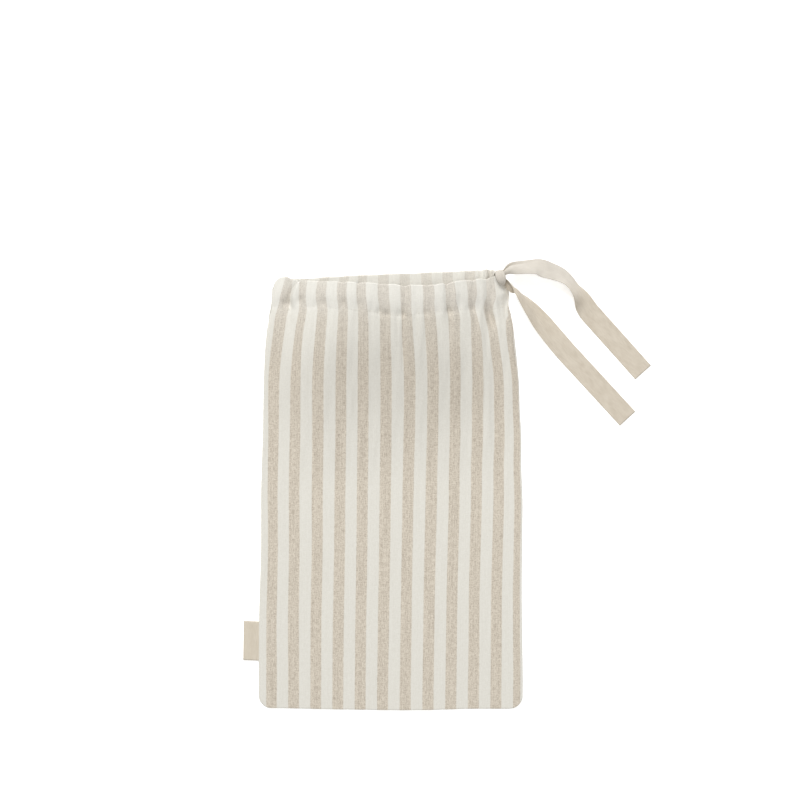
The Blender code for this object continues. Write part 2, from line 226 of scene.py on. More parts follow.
# Soft pits, mostly where a fold meets the stitches.
PITS = (
    # x, y, half width, half length, depth
    (-108.5, 199.5, 4.5, 4, 2.8),
    (-93.5, 202.5, 3, 4.5, 2.5),
    (-68.5, 199, 3, 4.4, 2.3),
    (-48, 198.6, 3, 4.4, 2.3),
    (-31, 197, 4, 4.5, 1.3),
    (-11.5, 190, 3.2, 3.2, 1.2),
    (-4, 187, 4.5, 3.5, 1.7),
    (12, 187, 3.6, 4, 1.8),
    (38, 188.5, 5, 3.5, 0.9),
    (62.5, 190, 5, 4.5, 2),
    (85, 193.8, 3, 4.6, 2.3),
    (102.5, 189.5, 4, 5, 1.3),
    (106, 183, 6, 7.5, 2.8),
    (-30, 104, 26, 34, 1.2),
    (74, 92, 22, 40, 1.4),
)
# Puckers that lift the back panel's edge at the mouth.
BACK_PUCKER_RISE = (0.1, 0.9)  # shares of the casing's depth between which they rise
BACK_PUCKER_PEAK = 0.12  # how much higher up their edge is, as a share of their height
BACK_PUCKERS = (
    # x, half width, height
    (-100, 6, 2.4),
    (-70, 7, 1.4),
    (-38, 8, 1.8),
    (6, 9, 1.6),
    (44, 8, 2),
    (76, 6, 2.6),
    (90.5, 3.6, 4),
    (100.2, 3, 7.5),
    (107.9, 2.8, 8.5),
)

# How far the cloth's own lines lie from where even spacing would put them.
STRIPE_SHIFT = (
    # share of half width, then the shift at each of SHIFT_HEIGHTS
    (-1.00, -1, -1, -1, -1, -1, -1, -3),
    (-0.96, -0.5, 0.3, 2.5, 0.6, 1, -0.8, -6.5),
    (-0.91, 0, 1.1, 2, 0.4, 0.4, -1.4, -6.2),
    (-0.85, 0, 1.4, 1.4, -1.2, -1.2, -1.6, -5.4),
    (-0.77, 0, 1.4, 1.3, -1.2, -2.4, -0.5, -0.3),
    (-0.70, 0, 1.4, 1.6, 1, -0.4, 2.8, 1.8),
    (-0.60, 0.2, 0.2, 0.5, -1.2, -0.9, 2.2, 0.8),
    (-0.42, 0.5, -0.6, -1.6, -2.2, -2, 0.8, 0.2),
    (-0.20, 0.4, -1.2, -2, -2, -0.4, 2, 2.2),
    (0.00, 0.2, -2.6, -3.7, -2.7, -2.6, -1.2, -0.4),
    (0.17, -0.2, -2.9, -5.6, -3.6, -3, -3.2, -2),
    (0.40, -0.9, -4.5, -7.4, -7.6, -6.9, -7.4, -5),
    (0.57, -1.3, -4.5, -7.2, -9.2, -11, -8.6, -6.5),
    (0.66, -1.4, -4.4, -8.1, -9.8, -11.2, -10.8, -9),
    (0.74, -1.4, -4.5, -8.6, -9.6, -5.4, -9, -9.6),
    (0.80, -1.4, -4.7, -7.8, -5.8, -4.6, -9, -9.6),
    (0.88, -1.6, -4.2, -7.1, -5.2, -4.4, -9, -7),
    (0.94, -1.9, -3.3, -4.5, -2.4, -6, -9, -6.5),
    (0.98, 2, 0.6, -0.6, 0.5, -10.5, -13, -11.5),
    (1.00, 3.5, 2.6, 1.8, 0.6, -9.5, -13.3, -14),
)
SHIFT_HEIGHTS = (-205, -16, 120, 168, 190, 205, 226)

STRIPE_PITCH = 23.45
STRIPE_PHASE = -8.05  # cloth line in the middle of one flax stripe
FLAX_WIDTH = 11.4

# ---- the tape
TAPE = 0.55  # thickness
TAPE_WIDTH = 22.0
TAPE_REST = 0.1  # clearance between it and the floor
STATION_STEP = 1.4  # between a tail's rows of points
SETTLING = 6.0  # length over which a tail eases down onto the floor
CASING_ROOM = (-0.93, 0.90)  # shares of the half width between which it runs flat
CASING_STATIONS = 120
BUNCH_FROM = 0.72  # share of the half width from which it narrows
BUNCHED_RUN = 8.0  # its width at the casings' ends
TURN_BULGE = 4.0  # how far it bends out at the left, from casing to casing
TURN_STATIONS = 12
KNOT_START = 600.0  # cloth coordinate along the tape where the knot begins
UPPER_START = 700.0  # where the upper tail begins
LOWER_START = 1000.0  # and the lower one

# Height of the tape's lengthwise folds at places across it, as shares of their depth.
UPPER_FOLDS = ((-1, 0.7), (-0.72, -1), (-0.35, 0.5), (0.2, 1), (0.65, 0.4), (1, -1.2))
LOWER_FOLDS = ((-1, -1), (-0.7, 0.1), (-0.2, 1), (0.25, 0.8), (0.7, 0.1), (1, -1))
KNOT_FOLDS = ((-1, -2.6), (-0.86, -0.7), (-0.62, 0.3), (-0.4, -0.25), (-0.12, 0.45),
              (0.12, -0.1), (0.36, 0.4), (0.6, 0.1), (0.86, -0.7), (1, -2.6))

# One strand out of the back casing, through the knot and on as the upper tail.
UPPER_TAIL = (
    # x, y, z, roll, width, depth of its folds
    (109.4, 220.5, 6.2, 0, 5, 1),
    (109.6, 225, 8.2, -5, 4.8, 1),
    (110.2, 228.8, 11.2, -10, 4.8, 1.2),
    (111.8, 231.2, 13.8, -20, 5, 1.3),
    (115, 231.4, 15.8, -30, 5, 1.2),
    (118.7, 232, 16.4, -36, 5.6, 1.4),
    (122.4, 234.6, 16, -40, 9.5, 2),
    (127.1, 236.3, 15.2, -48, 16, 2),
    (132.5, 237, 14, -50, 19.5, 1.5),
    (138.6, 237.5, 12.8, -50, 21.3, 0.9),
    (150.7, 238, 10.4, -42, 22, 0.3),
    (158.7, 236.6, 8.6, -29, 22, 0.1),
    (168.7, 233.6, 7.8, -34, 22, 0),
    (177.4, 230, 0, -40, 22, 0),
    (185.4, 224.4, 0, -50, 22, 0),
    (190.6, 218.4, 0, -54, 22, 0),
    (194.6, 212.9, 0, -50, 22, 0),
    (197.8, 208.2, 0, -38, 22, 0),
    (200.6, 203.6, 0, -24, 22, 0),
    (204, 198, 0, -10, 22, 0),
    (208.6, 191.6, 0, -2, 22, 0),
    (215.4, 183.9, 0, 0, 22, 0),
    (240.6, 155.8, 0, 0, 22, 0),
    (265.2, 128.2, 0, 0, 22, 0),
)
# The other strand out of the front casing, through the knot and on as the lower tail.
LOWER_TAIL = (
    # x, y, z, roll, width, depth of its folds
    (107.5, 214, 13, -180, 8, 0.2),
    (110.6, 218, 12.4, -178, 6, 0.2),
    (113.8, 221.3, 11.5, -172, 4.4, 0.3),
    (116.6, 223.4, 13.9, -165, 5.2, 1),
    (119.4, 222.4, 15.1, -160, 5.8, 1.5),
    (122.8, 218.9, 14.9, -146, 6.8, 1.7),
    (126.2, 215.5, 14.3, -122, 8.6, 2),
    (129.1, 213, 14, -95, 11, 2.6),
    (132.3, 210.8, 13, -76, 15.4, 2.2),
    (137.7, 205.4, 11.6, -59, 19.6, 1),
    (147, 193.9, 9.2, -41, 21.6, 0.2),
    (157.3, 181.8, 0, -22, 22, 0),
    (170.7, 165.7, 0, -9, 22, 0),
    (184.1, 150.1, 0, -2, 22, 0),
    (196, 137.2, 0, 0, 22, 0),
    (222.4, 108.5, 0, 0, 22, 0),
    (248.9, 79.7, 0, 0, 22, 0),
)

# The turns of tape that grip both strands.
KNOT_CENTRE = (114.8, 226.4, 16.2)
KNOT_REACH = 8.1  # half of its length
KNOT_RISE = 7.0  # half of its height
KNOT_LEAN = 9.0  # degrees off the bag's lengthwise direction
KNOT_STATIONS = 150
KNOT_BAND = (
    # degrees round it from the top, size, width, shift sideways, depth of its folds
    (-600, 0.12, 4.4, 0, 0.2),
    (-420, 0.38, 4.8, 0, 0.2),
    (-240, 0.68, 5, 0, 0.4),
    (-150, 0.90, 5, 0, 0.5),
    (-90, 0.92, 7, -1.2, 0.6),
    (-45, 0.93, 9.2, -0.9, 0.8),
    (0, 0.94, 9.8, -0.4, 0.9),
    (45, 0.96, 8, 0.1, 0.9),
    (90, 0.97, 4.4, 0.5, 0.7),
    (140, 0.98, 4.6, 0.4, 0.4),
    (230, 1, 4.6, 0, 0.4),
)

# ---- the label
LABEL_BOTTOM = -174.3
LABEL_TOP = -133.4
LABEL_REACH = 15.4  # from the side seam to its fold
LABEL_LEAN = 0.6  # how much further out its fold reaches at the bottom
LABEL_LIFT = 0.7  # how much further up its fold is than the seam's end
LABEL = 0.45  # thickness of its tape
LABEL_HEIGHTS = (0.35, 1.45)  # of its lower and upper layers
LABEL_HIDDEN = 3.0  # how far it goes into the seam

# ---- the stitching
STITCH = 2.2  # length
STITCH_PITCH = 2.655
STITCH_COUNT = 89
STITCH_ARCH = 0.34  # how high its middle stands over its ends
STITCH_SINK = 0.12  # how far those lie in the cloth
THREAD_RADIUS = 0.2
THREAD_END = 0.35  # the thread's radius at those, as a share


# ---- helpers
def curve(places, values):
    """Smooth function through the values at rising places, level beyond them."""
    x = np.array(places, float)
    y = np.array(values, float)
    slope = np.empty_like(y)
    slope[1:-1] = (y[2:] - y[:-2]) / (x[2:] - x[:-2])
    slope[0] = (y[1] - y[0]) / (x[1] - x[0])
    slope[-1] = (y[-1] - y[-2]) / (x[-1] - x[-2])

    def at(place):
        place = np.clip(place, x[0], x[-1])
        i = np.clip(np.searchsorted(x, place, side="right") - 1, 0, len(x) - 2)
        step = x[i + 1] - x[i]
        t = (place - x[i]) / step
        return ((1 + 2 * t) * (1 - t) ** 2 * y[i] + t * (1 - t) ** 2 * step * slope[i]
                + t * t * (3 - 2 * t) * y[i + 1] - t * t * (1 - t) * step * slope[i + 1])
    return at


def column_curve(table, column):
    """Smooth function from a table's first column to another one."""
    return curve([row[0] for row in table], [row[column] for row in table])


def ease(value, start, end):
    """0 before start, 1 after end, and smooth between them."""
    t = np.clip((value - start) / (end - start), 0, 1)
    return t * t * (3 - 2 * t)


def bell(distance, width):
    """1 in the middle, fading over about that width to either side."""
    return np.exp(-(distance / width) ** 2)


def between(ends, share):
    """Value a share of the way from the first end to the second."""
    return ends[0] + (ends[1] - ends[0]) * share


def ripples(seed, lengths):
    """Seeded, uneven waves over (x, y), about 1 high; lengths are theirs along x and y."""
    draw = np.random.default_rng(seed)
    count = 24
    waves = [(draw.normal(0, 1) / lengths[0], draw.normal(0, 1) / lengths[1],
              draw.uniform(0, 2 * math.pi)) for _ in range(count)]

    def at(x, y):
        total = sum(np.cos(2 * math.pi * (a * x + b * y) + c) for a, b, c in waves)
        return total / math.sqrt(count / 2)
    return at


LEFT_SIDE = column_curve(SIDES, 1)
RIGHT_SIDE = column_curve(SIDES, 2)
LOWER_EDGE = column_curve(BOTTOM_EDGE, 1)
EXTRA_DEPTH = column_curve(CASING_EXTRA, 1)
SOFT_WAVES = ripples(3, (30, 220))
SMALL_WAVES = ripples(5, (8, 70))
PUCKER_WAVES = ripples(11, (6, 60))


def side(u, y):
    """Distance of the side seam from the middle, on u's side."""
    return np.where(u < 0, LEFT_SIDE(y), RIGHT_SIDE(y))


def across(u, y):
    """x of the point at u and y."""
    return u * side(u, y)


def from_side(u, y):
    """Distance to the nearer side seam."""
    return side(u, y) * (1 - np.abs(u))


def corner_drop(u, y, radius):
    """How far a corner of that radius cuts back the end of a column."""
    past = np.clip(radius - from_side(u, y), 0, radius)
    return radius - np.sqrt(radius ** 2 - past ** 2)


def creases(x, y):
    """Depth of the listed creases and pits."""
    total = np.zeros(np.broadcast(x, y).shape)
    for half_width, depth, *line in CREASES:
        line = line[::-1]
        low, high = line[0][1], line[-1][1]
        centre = curve([p[1] for p in line], [p[0] for p in line])(y)
        length = high - low
        ends = ease(y, low, low + CREASE_FADE * length)
        if high < MOUTH[0][1]:
            ends = ends * (1 - ease(y, high - CREASE_START * length, high))
        total = total + depth * ends * bell(x - centre, half_width)
    for at_x, at_y, half_width, half_length, depth in PITS:
        away = ((x - at_x) / half_width) ** 2 + ((y - at_y) / half_length) ** 2
        total = total + depth * np.exp(-away)
    return total


def troughs(rows, x, below_stitch):
    """Depth of the folds in a table at x, some way below or above the stitches."""
    total = 0.0
    for centre, half_width, depth, reach in rows:
        below = bell(np.maximum(below_stitch, 0), reach)
        above = 1 + (1 - FOLD_AT_MOUTH) * np.minimum(below_stitch, 0) / CASING_DEPTH
        total = total + depth * below * above * bell(x - centre, half_width)
    return total


def rounded(distance, reach):
    """Quarter-round rise from 0 at an edge to 1 at reach from it."""
    t = np.clip(distance / reach, 0, 1)
    return np.sqrt(1 - (1 - t) ** 2)


def swell(share):
    """How much further the casing's plies stand apart, at a share of its depth."""
    inside = np.sin(math.pi * np.clip(share, 0, 1)).clip(0)
    return CASING_SWELL * inside ** SWELL_FULLNESS


def cloth_line(u, y):
    """Number of the cloth's own lengthwise line that lies at u and y."""
    at_height = [curve(SHIFT_HEIGHTS, row[1:])(y) for row in STRIPE_SHIFT]
    shares = np.array([row[0] for row in STRIPE_SHIFT])
    u = np.broadcast_to(u, y.shape)
    shift = np.zeros(y.shape)
    for i in range(len(shares) - 1):
        t = np.clip((u - shares[i]) / (shares[i + 1] - shares[i]), 0, 1)
        inside = (u >= shares[i]) & (u <= shares[i + 1])
        shift = np.where(inside, at_height[i] * (1 - t) + at_height[i + 1] * t, shift)
    return HALF_CLOTH * u + shift


# ---- panels
GRID_HALF_WIDTH = 138.6  # of a panel, for the spacing of its columns
GRID_LENGTH = 416.0  # from its bottom to its stitches, for that of its rows
# Distances from a seam, and from the stitches, at which those lie closer together.
EDGE_STEPS = (0, 0.05, 0.2, 0.5, 0.9, 1.4, 2.1, 3.0, 4.2, 5.6, 7.2, 9.0, 11.0)
STITCH_STEPS = (7, 5.6, 4.4, 3.4, 2.6, 1.9, 1.3, 0.8, 0.35)
COLUMN_STEP = 1.75
ROW_STEP = 3.0
FINE_FROM = 270.0  # distance from the bottom, from where rows are closer
FINE_STEP = 1.9


def across_positions():
    """Places across a panel, close together beside the seams."""
    inner = GRID_HALF_WIDTH - EDGE_STEPS[-1]
    count = round(2 * inner / COLUMN_STEP)
    middle = np.linspace(-inner, inner, count + 1)[1:-1]
    edge = np.array([GRID_HALF_WIDTH - step for step in EDGE_STEPS])
    return np.concatenate([-edge, middle, edge[::-1]]) / GRID_HALF_WIDTH


def body_shares():
    """Shares of the way from the bottom to the stitches, close at both ends."""
    low = list(EDGE_STEPS[:10])
    middle = list(np.arange(low[-1] + 0.8 * ROW_STEP, FINE_FROM, ROW_STEP))
    fine_end = GRID_LENGTH - STITCH_STEPS[0] - 1
    upper = list(np.arange(middle[-1] + FINE_STEP, fine_end, FINE_STEP))
    last = [GRID_LENGTH - step for step in STITCH_STEPS]
    return np.array(low + middle + upper + last) / GRID_LENGTH


# The casing's rows: shares of its depth up to its rounded tip, then degrees round it.
CASING_SHARES = (0, 0.012, 0.03, 0.055, 0.09, 0.13, 0.18, 0.24, 0.3, 0.36, 0.42, 0.48,
                 0.54, 0.6, 0.66, 0.72, 0.78, 0.83, 0.875, 0.91, 0.935)
TIP_ANGLES = (15, 30, 44, 57, 69, 80, 90)


class Panel:
    """One panel's surface: u runs across it, y along it."""

    def __init__(self, mouth_column, is_front):
        self.mouth_line = column_curve(MOUTH, mouth_column)
        self.is_front = is_front
        self.outward = 1 if is_front else -1

    def edge_line(self, u):
        """Height of the mouth's edge without its corners and notches."""
        return self.mouth_line(across(u, TENT_CROWN))

    def bottom(self, u):
        """Height of the lower edge."""
        lowest = BOTTOM + LOWER_EDGE(across(u, BOTTOM))
        return lowest + corner_drop(u, BOTTOM, BOTTOM_CORNER)

    def stitch(self, u):
        """Height of the stitches along the casing."""
        line = self.edge_line(u) - CASING_DEPTH
        if self.is_front:
            line = line - EXTRA_DEPTH(across(u, TENT_CROWN))
        return line

    def top(self, u):
        """Height of the edge at the mouth."""
        radius = np.where(u < 0, *MOUTH_CORNERS)
        edge = self.edge_line(u) - corner_drop(u, TENT_CROWN, radius)
        x = across(u, TENT_CROWN)
        if self.is_front:
            notch = troughs(FRONT_FOLDS, x, -CASING_DEPTH) + creases(x, edge)
            return edge - NOTCH_SHARE * notch
        return edge + BACK_PUCKER_PEAK * self.pucker(x)

    def pucker(self, x):
        """How high the back panel's puckers stand at the mouth."""
        return sum(height * bell(x - centre, half_width)
                   for centre, half_width, height in BACK_PUCKERS)

    def outline_distance(self, u, y):
        """How far a point is from the panel's side and bottom edges."""
        inward = from_side(u, y)
        upward = y - BOTTOM - LOWER_EDGE(across(u, y))
        round_x = np.clip(BOTTOM_CORNER - inward, 0, None)
        round_y = np.clip(BOTTOM_CORNER - upward, 0, None)
        in_corner = (round_x > 0) & (round_y > 0)
        diagonal = BOTTOM_CORNER - np.hypot(round_x, round_y)
        straight = np.minimum(inward, upward)
        return np.where(in_corner, diagonal, straight).clip(0)

    def seam_height(self, y):
        """Height of the side seam above the floor."""
        return between(SEAM_HEIGHT, ease(y, SEAM_LIFT_START, SEAM_LIFT_END))

    def end_thickness(self, u, y):
        """Thickness that the casing's end adds at the side seam."""
        return CASING_END * ease(y - self.stitch(u), *CASING_END_RISE)

    def front_outside(self, u, y, share):
        """Height of the front panel's outside; share is its place in the casing."""
        x = across(u, y)
        below = self.stitch(u) - y
        lift = ease(y, SEAM_LIFT_START, SEAM_LIFT_END)
        squareness = between(TENT_SQUARENESS, lift)
        arch = 0.5 * (1 + np.cos(math.pi * np.abs(u) ** squareness))
        height = CAD_CLOTH + GAP + (2 * CAD_CLOTH + CASING_SWELL) * lift
        height = height + MOUTH_RISE * ease(y, TENT_FOOT, TENT_CROWN) * arch
        held = arch ** FOLD_SPREAD * ease(y, TENT_FOOT, SEAM_LIFT_START)
        height = height - troughs(FRONT_FOLDS, x, below) * held - creases(x, y)
        height = height + CAD_CLOTH + swell(share)
        return height + self.relief(x, y, below)

    def relief(self, x, y, below):
        """Waves, puckers and the groove along the stitches."""
        upper = ease(y, *WAVES_RISE)
        small = SMALL_WAVES(x, y)
        beside_stitch = np.exp(-np.abs(below) / PUCKER_REACH)
        height = SOFT_HEIGHT * upper * SOFT_WAVES(x, y) + SMALL_HEIGHT * (1 + upper) * small
        height = height + PUCKER_HEIGHT * beside_stitch * PUCKER_WAVES(x, y)
        held_down = VALLEY * (1 + VALLEY_CHANGE * small).clip(VALLEY_LEAST)
        return height - held_down * bell(below, VALLEY_WIDTH)

    def outside(self, u, y, share):
        """Height of the panel's outside, rounded over at its edges."""
        distance = self.outline_distance(u, y)
        reach = between(SEAM_ROUND, ease(y, *SEAM_ROUND_RISE))
        reach = between((reach, CASING_ROUND), ease(y, *CASING_ROUND_RISE))
        rise = rounded(distance, reach)
        seam = self.seam_height(y) + self.outward * self.end_thickness(u, y)
        if not self.is_front:
            return seam * (1 - rise) + self.back_outside(u, y, share) * rise
        height = self.front_outside(u, y, share) + self.shoulder(u, y, distance)
        return seam + (height - seam) * rise

    def back_outside(self, u, y, share):
        """Height of the back panel's underside."""
        lifted = self.pucker(across(u, y)) * ease(share, *BACK_PUCKER_RISE)
        below = self.stitch(u) - y
        return lifted + BACK_VALLEY * bell(below, VALLEY_WIDTH)

    def shoulder(self, u, y, distance):
        """The front panel's extra fullness at some distance from its edge."""
        fullness = np.where(u < 0, *SHOULDERS) * ease(y, *SHOULDER_RISE)
        fullness = fullness * (1 - np.exp(-distance / SHOULDER_START))
        return fullness * bell(distance, SHOULDER_REACH)

    def casing_gap(self, share):
        """Distance between the casing's two outer faces."""
        pinched = 2 * CLOTH + PINCH
        return pinched + (2 * CAD_CLOTH - pinched + swell(share)) * ease(share, 0, PARTING)

    def surface(self, u):
        """The exposed side of the sheet, from its bottom edge to the end of its hem.

        Returns the rows of points and the cloth's coordinates at them.
        """
        u = u[None, :]
        bottom, stitch = self.bottom(u), self.stitch(u)
        body = bottom + body_shares()[:, None] * (stitch - bottom)
        depth = self.top(u) - stitch
        tip = 1 - TIP / depth
        shares = [np.full_like(depth, s) * tip / CASING_SHARES[-1] for s in CASING_SHARES]
        tips = [tip + (1 - tip) * math.sin(math.radians(a)) for a in TIP_ANGLES]
        outer = np.concatenate(shares + tips)
        inner = np.concatenate(tips[-2::-1] + shares[::-1])
        hem = -np.array(HEM_ROWS)[:, None] * HEM / depth
        rows = [(body, self.outside(u, body, np.zeros_like(body)), body),
                self.casing_rows(u, outer, 0.5),
                self.casing_rows(u, inner, -0.5),
                self.casing_rows(u, hem, -0.5)]

        y, z, along = (np.concatenate(part) for part in zip(*rows))
        points = np.stack([across(u, y), y, z], axis=-1)
        cloth = np.stack([cloth_line(u, y), along - BOTTOM], axis=-1)
        return points, cloth

    def casing_middle(self, u, share):
        """Points halfway between the casing's plies."""
        stitch = self.stitch(u)
        y = stitch + share * (self.top(u) - stitch)
        z = self.outside(u, y, share) - self.outward * self.casing_gap(share) / 2
        return np.stack(np.broadcast_arrays(across(u, y), y, z), -1)

    def casing_rows(self, u, share, half):
        """Rows of the casing's outer ply (half 0.5) or inner ply (half -0.5).

        Returns their places along the bag, their heights and their places along the cloth.
        """
        stitch, top = self.stitch(u), self.top(u)
        depth = top - stitch
        y = stitch + depth * share
        gap = self.casing_gap(share)
        if not self.is_front:
            opening = ease(from_side(u, y), 0, CASING_END_REACH)
            gap = gap * opening + CASING_END * (1 - opening)
        elif half < 0:
            near_stitches = 1 - ease(share, *SLACK_FADE)
            gap = gap + HEM_SLACK * creases(across(u, y), y).clip(0) * near_stitches
        tip = 1 - TIP / depth
        flattening = np.clip((share - tip) / (1 - tip), 0, 1)
        spread = half * np.sqrt(1 - flattening ** 2)
        z = self.outside(u, y, share) - self.outward * gap * (0.5 - spread)
        along = y if half > 0 else 2 * top - y
        return y, z, along


# ---- meshes
def unit(vectors):
    """The same directions, each 1 long."""
    return vectors / np.linalg.norm(vectors, axis=-1, keepdims=True).clip(1e-9)


def sheet_normals(points):
    """Unit normals of a grid of points."""
    return unit(np.cross(np.gradient(points, axis=1), np.gradient(points, axis=0)))


def sheet_faces(rows, columns):
    """Quads of a closed sheet whose two sides are grids, one after the other."""
    count = rows * columns
    index = np.arange(count).reshape(rows, columns)
    ring = np.concatenate([index, index[::-1] + count, index[:1]])
    walls = np.stack([ring[:-1, :-1], ring[:-1, 1:], ring[1:, 1:], ring[1:, :-1]], -1)
    first, last = index[:, 0], index[:, -1]
    left = np.stack([first[:-1], first[1:], first[1:] + count, first[:-1] + count], -1)
    right = np.stack([last[1:], last[:-1], last[:-1] + count, last[1:] + count], -1)
    return np.concatenate([walls.reshape(-1, 4), left, right])


def add_object(name, data):
    """New object in the scene."""
    thing = bpy.data.objects.new(name, data)
    bpy.context.scene.collection.objects.link(thing)
    return thing


def mesh_object(name, points, faces, cloth, material):
    """Object from points in millimetres, with the cloth's coordinates at each."""
    mesh = bpy.data.meshes.new(name)
    mesh.from_pydata((points * MM).tolist(), [], faces)
    if cloth is not None:
        corner = np.empty(len(mesh.loops), int)
        mesh.loops.foreach_get("vertex_index", corner)
        layer = mesh.uv_layers.new(name=CLOTH_MAP)
        layer.data.foreach_set("uv", cloth[corner].ravel())
    bm = bmesh.new()
    bm.from_mesh(mesh)
    bmesh.ops.recalc_face_normals(bm, faces=bm.faces)
    bm.to_mesh(mesh)
    bm.free()
    mesh.shade_smooth()
    mesh.materials.append(material)
    return add_object(name, mesh)


def sheet_object(name, sheets, material):
    """One object of closed sheets, each (one side, other side, cloth's coordinates)."""
    points, faces, cloth, start = [], [], [], 0
    for face, other, lines in sheets:
        faces.append(sheet_faces(*face.shape[:2]) + start)
        for grid in (face, other):
            points.append(grid.reshape(-1, 3))
            cloth.append(lines.reshape(-1, 2))
            start += len(points[-1])
    return mesh_object(name, np.concatenate(points), np.concatenate(faces).tolist(),
                       np.concatenate(cloth), material)


def make_panel(name, panel, material):
    """A panel's sheet, as thick as its cloth."""
    points, cloth = panel.surface(across_positions())
    outward = sheet_normals(points) * panel.outward
    return sheet_object(name, [(points, points - outward * CLOTH, cloth)], material)


# ---- tape
ACROSS_TAPE = np.linspace(-1, 1, 29)  # places across it, as shares of its half width


def distances(points):
    """Length along a line of points, from its start."""
    steps = np.linalg.norm(np.diff(points, axis=0), axis=1)
    return np.concatenate([[0], np.cumsum(steps)])


def ribbon(centre, face, width, depth, folds):
    """Tape along a line: face points out of its upper side, folds run along it."""
    travel = unit(np.gradient(centre, axis=0))
    edge = unit(np.cross(travel, face))
    face = np.cross(edge, travel)
    fold = depth[:, None] * column_curve(folds, 1)(ACROSS_TAPE)
    step = width[:, None] / 2 * ACROSS_TAPE
    return centre[:, None] + edge[:, None] * step[..., None] + face[:, None] * fold[..., None]


def smoothed(values, reach):
    """Running mean over reach places to either side."""
    padded = np.pad(values, reach, mode="edge")
    return np.convolve(padded, np.full(2 * reach + 1, 1 / (2 * reach + 1)), "valid")


def tape_sheet(points, start):
    """Both sides of the tape round its middle surface, and the cloth's coordinates."""
    half = sheet_normals(points) * TAPE / 2
    along = start + distances(points[:, len(ACROSS_TAPE) // 2])
    sideways = ACROSS_TAPE * TAPE_WIDTH / 2
    cloth = np.stack(np.broadcast_arrays(sideways[None, :], along[:, None]), -1)
    return points + half, points - half, cloth


def tail(rows, folds):
    """Tape through a table of its stations, resting on the floor where it is low."""
    place = distances(np.array([row[:3] for row in rows], float))
    fine = np.linspace(0, place[-1], round(place[-1] / STATION_STEP) + 1)
    x, y, z, roll, width, depth = (
        curve(place, [row[i] for row in rows])(fine) for i in range(6))
    roll = np.radians(roll)
    z = np.maximum(z, width * np.abs(np.sin(roll)) / 2 + TAPE / 2 + TAPE_REST)
    z = smoothed(z, round(SETTLING / STATION_STEP))
    centre = np.stack([x, y, z], -1)
    travel = unit(np.gradient(centre, axis=0))
    level = unit(np.cross((0, 0, 1), travel))
    upright = np.cross(travel, level)
    face = np.cos(roll)[:, None] * upright - np.sin(roll)[:, None] * level
    return ribbon(centre, face, width, depth, folds)


def knot():
    """Turns from the knot's inside out, the last one over both strands and under them."""
    angle = np.radians(np.linspace(KNOT_BAND[0][0], KNOT_BAND[-1][0], KNOT_STATIONS))
    size, width, shift, depth = (
        column_curve(KNOT_BAND, i)(np.degrees(angle)) for i in (1, 2, 3, 4))
    lean = math.radians(KNOT_LEAN)
    down = np.array((math.sin(lean), -math.cos(lean), 0))
    sideways = np.array((math.cos(lean), math.sin(lean), 0))
    up = np.array((0, 0, 1))
    sin, cos = np.sin(angle)[:, None], np.cos(angle)[:, None]
    out = unit(down * sin / KNOT_REACH + up * cos / KNOT_RISE)
    round_it = (down * sin * KNOT_REACH + up * cos * KNOT_RISE) * size[:, None]
    centre = np.array(KNOT_CENTRE) + round_it + sideways * shift[:, None]
    return ribbon(centre, out, width, depth, KNOT_FOLDS)


def casing_run(panel):
    """The tape lying flat inside a panel's casing, from left to right."""
    u = np.linspace(*CASING_ROOM, CASING_STATIONS)[:, None]
    narrowing = ease(u, BUNCH_FROM, CASING_ROOM[1])
    width = TAPE_WIDTH + (BUNCHED_RUN - TAPE_WIDTH) * narrowing
    share = 0.5 + ACROSS_TAPE * width / 2 / CASING_DEPTH
    return panel.casing_middle(u, share)


def hidden_run(front, back):
    """The tape in both casings, with its turn at the left."""
    first, last = casing_run(front)[::-1], casing_run(back)
    angle = np.linspace(0, math.pi, TURN_STATIONS)[1:-1, None, None]
    middle, half = (first[-1] + last[0]) / 2, (first[-1] - last[0]) / 2
    bulge = np.array((-TURN_BULGE, 0, 0)) * np.sin(angle)
    return np.concatenate([first, middle + half * np.cos(angle) + bulge, last])


def make_tape(front, back, material):
    """One object of the tape's stretches, each with its own start along the tape."""
    sheets = [tape_sheet(hidden_run(front, back), 0.0), tape_sheet(knot(), KNOT_START),
              tape_sheet(tail(UPPER_TAIL, UPPER_FOLDS), UPPER_START),
              tape_sheet(tail(LOWER_TAIL, LOWER_FOLDS), LOWER_START)]
    return sheet_object("drawstring", sheets, material)


# ---- label
def make_label(material):
    """A strip folded in two, with both ends in the side seam."""
    flat_rows, turn_rows, columns = 16, 9, 30
    low, high = LABEL_HEIGHTS
    seam = -LEFT_SIDE(np.array(LABEL_BOTTOM)) + LABEL_HIDDEN
    fold = seam - LABEL_HIDDEN - LABEL_REACH
    radius = (high - low) / 2
    flat = np.linspace(seam, fold + radius, flat_rows)
    angle = np.linspace(0, math.pi, turn_rows)[1:-1]
    turn_z = (low + high) / 2 + radius * np.cos(angle)
    x = np.concatenate([flat, fold + radius - radius * np.sin(angle), flat[::-1]])
    z = np.concatenate([np.full(flat_rows, high), turn_z, np.full(flat_rows, low)])
    y = np.linspace(LABEL_BOTTOM, LABEL_TOP, columns)
    share = (y - LABEL_BOTTOM) / (LABEL_TOP - LABEL_BOTTOM)
    out = (seam - x[:, None]) / LABEL_REACH
    grid_x = x[:, None] - LABEL_LEAN * (1 - share) * out
    points = np.stack(np.broadcast_arrays(grid_x, y + LABEL_LIFT * out, z[:, None]), -1)
    half = sheet_normals(points) * LABEL / 2
    along = distances(np.stack([x, z], -1))
    cloth = np.stack(np.broadcast_arrays(along[:, None], y[None, :]), -1)
    return sheet_object("label", [(points + half, points - half, cloth)], material)


